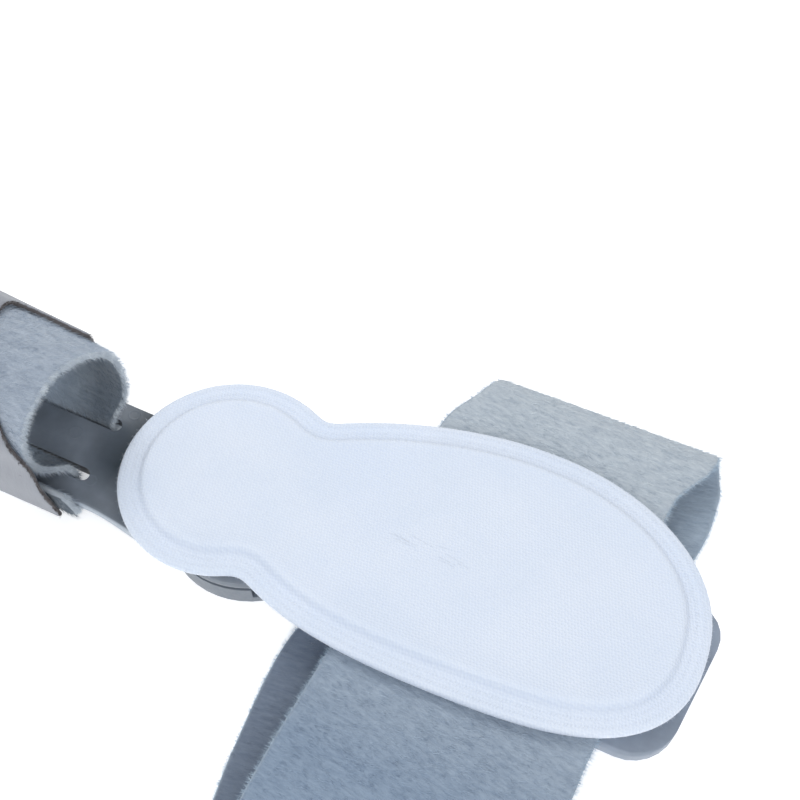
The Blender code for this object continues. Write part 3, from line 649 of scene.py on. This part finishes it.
def midfootTable():
    # rows of y and z, the shift along X and the draw of both edges as shares of the width
    low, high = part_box("midfoot_strap")
    thick, width = midfoot["thick"], midfoot["width"]
    near, far = -low.y - thick / 2, high.y - thick / 2
    padNear = padMidline(pad["bodyX"]) - pad["bodyHalfWidth"] - thick
    padFar = padMidline(pad["bodyX"]) + pad["bodyHalfWidth"] + thick / 2
    floor = thick / 2
    lap = floor + thick + midfoot["gap"]
    over = midfoot["plateTop"] + midfoot["gap"] + thick / 2
    rows = (
        (-0.78 * near, lap, 0.030, 0), (-0.86 * near, lap, 0.025, 0),
        (-0.94 * near, lap + 0.3 * thick, 0.010, 0),
        (-1.00 * near, (lap + over) / 2 + 0.8 * thick, -0.010, 0.015),
        (-0.90 * near, over + 1.8 * thick, -0.022, 0.006), (-0.68 * near, over + 1.7 * thick, -0.020, 0.006),
        (padNear, over, -0.004, 0.004), (0.6 * padNear, over, 0.009, 0), (0.0, over, 0, 0),
        (0.6 * padFar, over, -0.018, 0), (padFar, over, -0.006, 0),
        (0.86 * far, over + 0.7 * thick, 0.080, 0), (0.95 * far, over + 0.1 * thick, 0.110, 0.004),
        (1.00 * far, (floor + over) / 2 + 0.2 * thick, 0.124, 0.014),
        (0.95 * far, floor + 0.5 * thick, 0.145, 0.006), (0.84 * far, floor + 0.1 * thick, 0.165, 0),
        (0.55 * far, floor + 0.1 * thick, 0.140, 0), (0.0, floor, -0.045, 0),
        (-0.32 * near, floor, -0.180, 0),
        (-0.67 * near, floor, -0.170, 0), (-0.93 * near, floor, -0.125, 0))
    middle = midfoot["middle"]
    return [(y, z, middle + (shift - 0.5 + draw) * width, middle + (shift + 0.5 - draw) * width)
            for y, z, shift, draw in rows]


# Toe strap and its closing tab, drawn on a level plate and then laid on the leaning one
toePlate = {"start": 34 * mm, "halfWidth": 13.5 * mm, "thick": 3 * mm, "rise": 6.2 * mm,
            "lean": math.radians(9), "turn": math.radians(3), "slot": 7 * mm}
toeStrap = {"start": 38.5 * mm, "width": 32 * mm, "thick": 1.8 * mm, "gap": 0.3 * mm,
            "ring": 14.2 * mm, "height": 33 * mm, "flare": 0.16, "pitch": 0.7 * mm, "spacing": 0.4 * mm,
            "ripple": 0.15 * mm}
toeNap = {"short": 0.8 * mm, "long": 2.1 * mm, "girth": 0.05 * mm, "rise": (0.15, 0.7),
          "lean": -0.45, "scatter": 0.35, "outer": 18000, "inner": 18000, "edgeCount": 6000}
# one tone outside; inside, painted shade towards the opening and painted light away from it, in millimetres
# across the strap
toeRingLook = {"away": colours["toePlush"], "towards": colours["toePlush"], "turnsAt": (0, 1),
               "insideStart": colours["toePlushShadedInside"], "inside": colours["toePlushLit"],
               "insideTurnsAt": (26, 13), "insideAxis": "Y", "cut": colours["toePlushCut"], "lean": -0.05}
tab = {"thick": 1.2 * mm, "pitch": 0.8 * mm, "spacing": 0.4 * mm, "ripple": 0.03 * mm}
# dark threads of the tab's cut edge: places from the edge and lengths in millimetres, levels as shares
# of the thickness
tabCut = {"threads": 700, "inset": (-0.35, 0.05), "level": (-0.2, 0.45), "length": (0.3, 0.8),
          "girth": 0.05 * mm}


def toePlace():
    lift = toePlate["rise"] - toePlate["start"] * math.tan(toePlate["lean"])
    return (Matrix.Rotation(toePlate["turn"], 4, "Z") @ Matrix.Translation((0, 0, lift))
            @ Matrix.Rotation(toePlate["lean"], 4, "Y"))


def toeRows(rows):
    # rows of y, z and the inset of the edge towards the hinge as a share of the strap's width
    near = -toeStrap["start"]
    return [(y, z, near - toeStrap["width"], near - inset * toeStrap["width"]) for y, z, inset in rows]


def toeStrapTable():
    ring, height, slot, thick = toeStrap["ring"], toeStrap["height"], toePlate["slot"], toeStrap["thick"]
    under = -(toePlate["thick"] + toeStrap["gap"] + 0.6 * thick)
    side = toePlate["halfWidth"] + toeStrap["gap"] + thick / 2
    return toeRows((
        (side - 0.3 * thick, 1.4 * thick, 0.11), (side, -0.3 * thick, 0.11),
        (side - 0.3 * thick, under + 0.6 * thick, 0.095), (side - 1.4 * thick, under, 0.06),
        (slot + 1.4 * thick, under, 0.045), (slot + 0.2 * thick, under + 0.7 * thick, 0.045),
        (slot, -0.7 * thick, 0.050), (slot + 0.4 * thick, 1.0 * thick, 0.040),
        (0.80 * ring, 0.21 * height, 0.006), (0.87 * ring, 0.43 * height, 0.02),
        (0.72 * ring, 0.70 * height, 0.045), (0.31 * ring, 0.91 * height, 0.075),
        (-0.24 * ring, 0.99 * height, 0.13), (-0.74 * ring, 0.90 * height, 0.165),
        (-1.04 * ring, 0.69 * height, 0.19), (-1.04 * ring, 0.40 * height, 0.20),
        (-0.85 * ring, 0.18 * height, 0.19), (-slot - 0.4 * thick, 0.7 * thick, 0.12),
        (-slot, -0.9 * thick, 0.08),
        (-slot - 0.3 * thick, under + 0.6 * thick, 0.06), (-slot - 1.5 * thick, under, 0.02),
        (-side + 1.4 * thick, under, -0.03), (-side + 0.3 * thick, under + 0.6 * thick, -0.06),
        (-side, -0.3 * thick, -0.06), (-side, 1.6 * thick, 0.01)))


def tabTable():
    ring, height = toeStrap["ring"], toeStrap["height"]
    lift = toeStrap["thick"] / 2 + toeStrap["gap"] + tab["thick"] / 2
    side = toePlate["halfWidth"] + toeStrap["gap"] + toeStrap["thick"] / 2 + lift
    return toeRows((
        (-side, -1.6 * lift, 0.02), (-side - 0.1 * lift, 0.7 * lift, 0.06),
        (-1.04 * ring - 1.20 * lift, 0.22 * height, 0.115),
        (-1.04 * ring - 1.02 * lift, 0.42 * height, 0.155), (-1.04 * ring - lift, 0.70 * height, 0.270),
        (-0.74 * ring - 0.70 * lift, 0.90 * height + 0.78 * lift, 0.420),
        (-0.24 * ring - 0.05 * lift, 0.99 * height + 1.05 * lift, 0.570),
        (0.31 * ring + 0.60 * lift, 0.91 * height + 0.86 * lift, 0.660),
        (0.58 * ring + 0.80 * lift, 0.79 * height + 0.66 * lift, 0.620),
        (0.66 * ring + 0.88 * lift, 0.74 * height + 0.54 * lift, 0.240),
        (0.74 * ring + 0.95 * lift, 0.68 * height + 0.42 * lift, 0.230),
        (0.87 * ring + 1.08 * lift, 0.44 * height, 0.230), (0.83 * ring + 1.05 * lift, 0.30 * height, 0.230)))


def flatSize(strip):
    # the cut size of a strap: its mean width and its length
    return float(np.mean(strip["right"] - strip["left"])), float(strip["s"][-1])


def makePadPieces():
    loop, inward, girth, bottom = padFrame()
    cover = makePad(knitFinish(), loop, inward, girth, bottom)
    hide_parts("gel_pad")
    for piece in (cover, makeFringe(loop, inward, bottom), makeSeam(loop, inward, bottom)):
        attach(piece, "foot_side")
    print("pad made")


def makeFringe(loop, inward, bottom):
    # short loose threads out of the edge
    rng = np.random.default_rng(11)
    count = padFringe["count"]
    at = rng.integers(0, len(loop), count)
    heights = bottom + rng.uniform(*padFringe["height"], count) * mm
    roots = np.column_stack([loop[at] + inward[at] * padFringe["inset"], heights])
    along = np.roll(loop, -3, 0) - loop
    along = along / np.linalg.norm(along, axis=1, keepdims=True)
    ways = np.column_stack([-inward[at] + along[at] * rng.normal(0, padFringe["sideways"], (count, 1)),
                            rng.normal(0, padFringe["upwards"], count)])
    ways /= np.linalg.norm(ways, axis=1, keepdims=True)
    lengths = rng.uniform(*padFringe["length"], count) * mm
    return spikes("pad_edge_fibres", roots, ways, lengths, padFringe["girth"],
                  threadFinish("padThread", colours["thread"]))


def makeSeam(loop, inward, bottom):
    # two rows of slanted overlock dashes along the flange, and a few snagged threads in the middle
    rng = np.random.default_rng(12)
    count = int(np.sum(np.hypot(*np.diff(loop, axis=0).T)) / padSeam["pitch"])
    starts, ends = [], []
    for row, (depth, reach, height) in enumerate(padSeam["rows"]):
        even = np.arange(count) / count * len(loop) + row * padSeam["rowShift"]
        at = (even + rng.normal(0, padSeam["scatter"], count)).astype(int) % len(loop)
        for first, second in zip(at, (at + padSeam["slant"]) % len(loop)):
            starts.append((*(loop[first] + inward[first] * (depth - reach / 2)), bottom + height))
            ends.append((*(loop[second] + inward[second] * (depth + reach / 2)), bottom + height))
    level = bottom + padSnags["height"]
    for _ in range(padSnags["count"]):
        start = np.array([rng.uniform(*padSnags["x"]), rng.uniform(*padSnags["y"])]) * mm
        way = math.radians(rng.normal(*padSnags["way"]))
        reach = rng.uniform(*padSnags["length"]) * mm
        starts.append((*start, level))
        ends.append((start[0] + reach * math.cos(way), start[1] + reach * math.sin(way), level))
    return stitches("pad_stitches", starts, ends, padSeam["girth"],
                    threadFinish("padStitch", colours["stitch"]))


def makeMidfootStrap():
    strip = layStrip(midfootTable(), 1, midfoot["spacing"])
    plush, pile = plushFinish("midfootPlush", midfootLook), fibreFinish("midfootPile", midfootLook)
    strap = skinStrip("midfoot_cloth", strip, midfoot, plush, 3)
    nap = napOn("midfoot_pile", strip, midfoot["thick"], midfootNap, pile, 4)
    for piece in (strap, nap):
        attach(piece, "foot_side")
    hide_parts("midfoot_strap")
    flatSize(strip)
    print("midfoot strap made", flatSize(strip))


def makeToeRing():
    strip = layStrip(toeStrapTable(), -1, toeStrap["spacing"], toePlace(), toeStrap["flare"])
    plush, pile = plushFinish("toePlush", toeRingLook), fibreFinish("toePile", toeRingLook)
    ring = skinStrip("toe_cloth", strip, toeStrap, plush, 5)
    nap = napOn("toe_pile", strip, toeStrap["thick"], toeNap, pile, 6)
    for piece in (ring, nap):
        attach(piece, "toe_side")
    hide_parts("toe_strap")
    flatSize(strip)
    print("toe strap made", flatSize(strip))
    return ring


def makeTab(ring):
    strip = layStrip(tabTable(), 1, tab["spacing"], toePlace(), toeStrap["flare"])
    closing = skinStrip("toe_tab", strip, tab, tabFinish(), 7)
    cut = makeTabCut(strip)
    for piece in (closing, cut):
        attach(piece, "toe_side")
    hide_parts("toe_strap_tab")
    flatSize(strip)
    print("tab made", flatSize(strip))


def makeTabCut(strip):
    # short dark threads along the cut edge towards the hinge
    rng = np.random.default_rng(21)
    count = tabCut["threads"]
    s = rng.uniform(0, strip["s"][-1], count)
    x = np.interp(s, strip["s"], strip["right"]) + rng.uniform(*tabCut["inset"], count) * mm
    starts = onStrip(strip, s, x, rng.uniform(*tabCut["level"], count) * tab["thick"])
    ways = stripWay(strip, s, rng.normal(0, 1, count), rng.uniform(0.1, 1, count),
                    rng.normal(0.2, 0.3, count))
    ends = starts + ways * rng.uniform(*tabCut["length"], (count, 1)) * mm
    return stitches("tab_cut_threads", starts, ends, tabCut["girth"],
                    threadFinish("darkThread", colours["darkThread"]))


def smoothByAngle(degrees):
    # a modifier group that shades smooth and keeps edges over the angle sharp
    group = bpy.data.node_groups.new("smoothByAngle", "GeometryNodeTree")
    group.interface.new_socket("Geometry", in_out="INPUT", socket_type="NodeSocketGeometry")
    group.interface.new_socket("Geometry", in_out="OUTPUT", socket_type="NodeSocketGeometry")
    made = {kind: group.nodes.new(kind) for kind in ("NodeGroupInput", "NodeGroupOutput",
                                                    "GeometryNodeInputMeshEdgeAngle", "FunctionNodeCompare")}
    faces, edges = (group.nodes.new("GeometryNodeSetShadeSmooth") for _ in range(2))
    edges.domain = "EDGE"
    over = made["FunctionNodeCompare"]
    over.operation = "LESS_THAN"
    over.inputs["B"].default_value = math.radians(degrees)
    group.links.new(made["GeometryNodeInputMeshEdgeAngle"].outputs[0], over.inputs["A"])
    group.links.new(made["NodeGroupInput"].outputs[0], faces.inputs["Geometry"])
    group.links.new(faces.outputs[0], edges.inputs["Geometry"])
    group.links.new(over.outputs[0], edges.inputs["Shade Smooth"])
    group.links.new(edges.outputs[0], made["NodeGroupOutput"].inputs[0])
    return group


# edges sharper than sharpFrom get a small rounding, and faces shade smooth under smoothUnder
moulding = {"smoothUnder": 34, "sharpFrom": 35, "edge": 0.25 * mm, "segments": 2}


def makePlastics():
    shading = smoothByAngle(moulding["smoothUnder"])
    finishes = {
        "toe_arm": plasticFinish("toePlastic", colours["toePlastic"], 0.42, colours["drumPlastic"]),
        "foot_arm": plasticFinish("footPlastic", colours["footPlastic"], 0.45),
        "drum_cap": plasticFinish("drumPlastic", colours["drumPlastic"], 0.45),
        "hinge_pin": plasticFinish("pinPlastic", colours["drumPlastic"], 0.40),
    }
    for name, material in finishes.items():
        item = nodes[name]
        item.data.materials.clear()
        item.data.materials.append(material)
        weld = item.modifiers.new("weld", "WELD")
        weld.merge_threshold = weldGap
        edge = item.modifiers.new("moulded_edge", "BEVEL")
        edge.width = moulding["edge"]
        edge.segments = moulding["segments"]
        edge.limit_method = "ANGLE"
        edge.angle_limit = math.radians(moulding["sharpFrom"])
        item.modifiers.new("smooth", "NODES").node_group = shading
        item.modifiers.new("flat_faces_first", "WEIGHTED_NORMAL").keep_sharp = True
    print("plastics made", len(finishes))


# Camera at the picture's angle, a pale floor and soft light
studio = {
    "camera": (72.91 * mm, -83.44 * mm, 198.16 * mm), "azimuth": math.radians(24.5),
    "elevation": math.radians(55), "lens": 45.0, "sensor": 36.0, "clipFrom": 0.01,
    "floor": (0.93, 0.93, 0.93), "floorGlow": 0.46, "sky": (0.95, 0.97, 1.0), "skyStrength": 0.54,
    "keyAt": (-0.22, 0.38, 0.55), "keySize": 0.45, "keyPower": 1.8, "keyColour": (1.0, 0.99, 0.97),
    "fillAt": (0.25, -0.45, 0.50), "fillSize": 0.6, "fillPower": 2.2, "fillColour": (0.95, 0.97, 1.0),
    "lookAt": (0.03, 0.0, 0.005), "floorHalf": 1.5, "floorLevel": -0.05 * mm,
}


def addLight(name, at, size, power, colour):
    lamp = bpy.data.lights.new(name, "AREA")
    lamp.shape, lamp.size, lamp.energy, lamp.color = "DISK", size, power, colour
    item = bpy.data.objects.new(name, lamp)
    item.location = at
    item.rotation_euler = (Vector(at) - Vector(studio["lookAt"])).to_track_quat("Z", "Y").to_euler()
    bpy.context.scene.collection.objects.link(item)


def makeStudio():
    camera = bpy.data.objects.new("camera", bpy.data.cameras.new("camera"))
    camera.location = studio["camera"]
    camera.rotation_euler = (math.pi / 2 - studio["elevation"], 0, studio["azimuth"])
    camera.data.lens, camera.data.sensor_width = studio["lens"], studio["sensor"]
    camera.data.clip_start = studio["clipFrom"]
    bpy.context.scene.collection.objects.link(camera)
    bpy.context.scene.camera = camera

    ground = Finish("floorPaper", Roughness=0.9, Specular_IOR_Level=0.1,
                    Emission_Color=(1, 1, 1, 1), Emission_Strength=studio["floorGlow"])
    tone = ground.noise(ground.place(), 0.01, 2.0)
    ground.done(Base_Color=ground.mix(tone * 0.2, studio["floor"], tuple(c * 0.97 for c in studio["floor"])))
    size, level = studio["floorHalf"], studio["floorLevel"]
    corners = [(-size, -size, level), (size, -size, level), (size, size, level), (-size, size, level)]
    floor = newPiece("floor", corners, [(0, 1, 2, 3)], ground.material)

    addLight("key", studio["keyAt"], studio["keySize"], studio["keyPower"], studio["keyColour"])
    addLight("fill", studio["fillAt"], studio["fillSize"], studio["fillPower"], studio["fillColour"])
    world = bpy.data.worlds.new("softRoom")
    world.use_nodes = True
    sky = world.node_tree.nodes["Background"]
    sky.inputs["Color"].default_value = (*studio["sky"], 1)
    sky.inputs["Strength"].default_value = studio["skyStrength"]
    bpy.context.scene.world = world
    bpy.context.scene.view_settings.view_transform = "Standard"
    print("studio made")


makeStudio()
makePadPieces()
makeMidfootStrap()
makeTab(makeToeRing())
makePlastics()
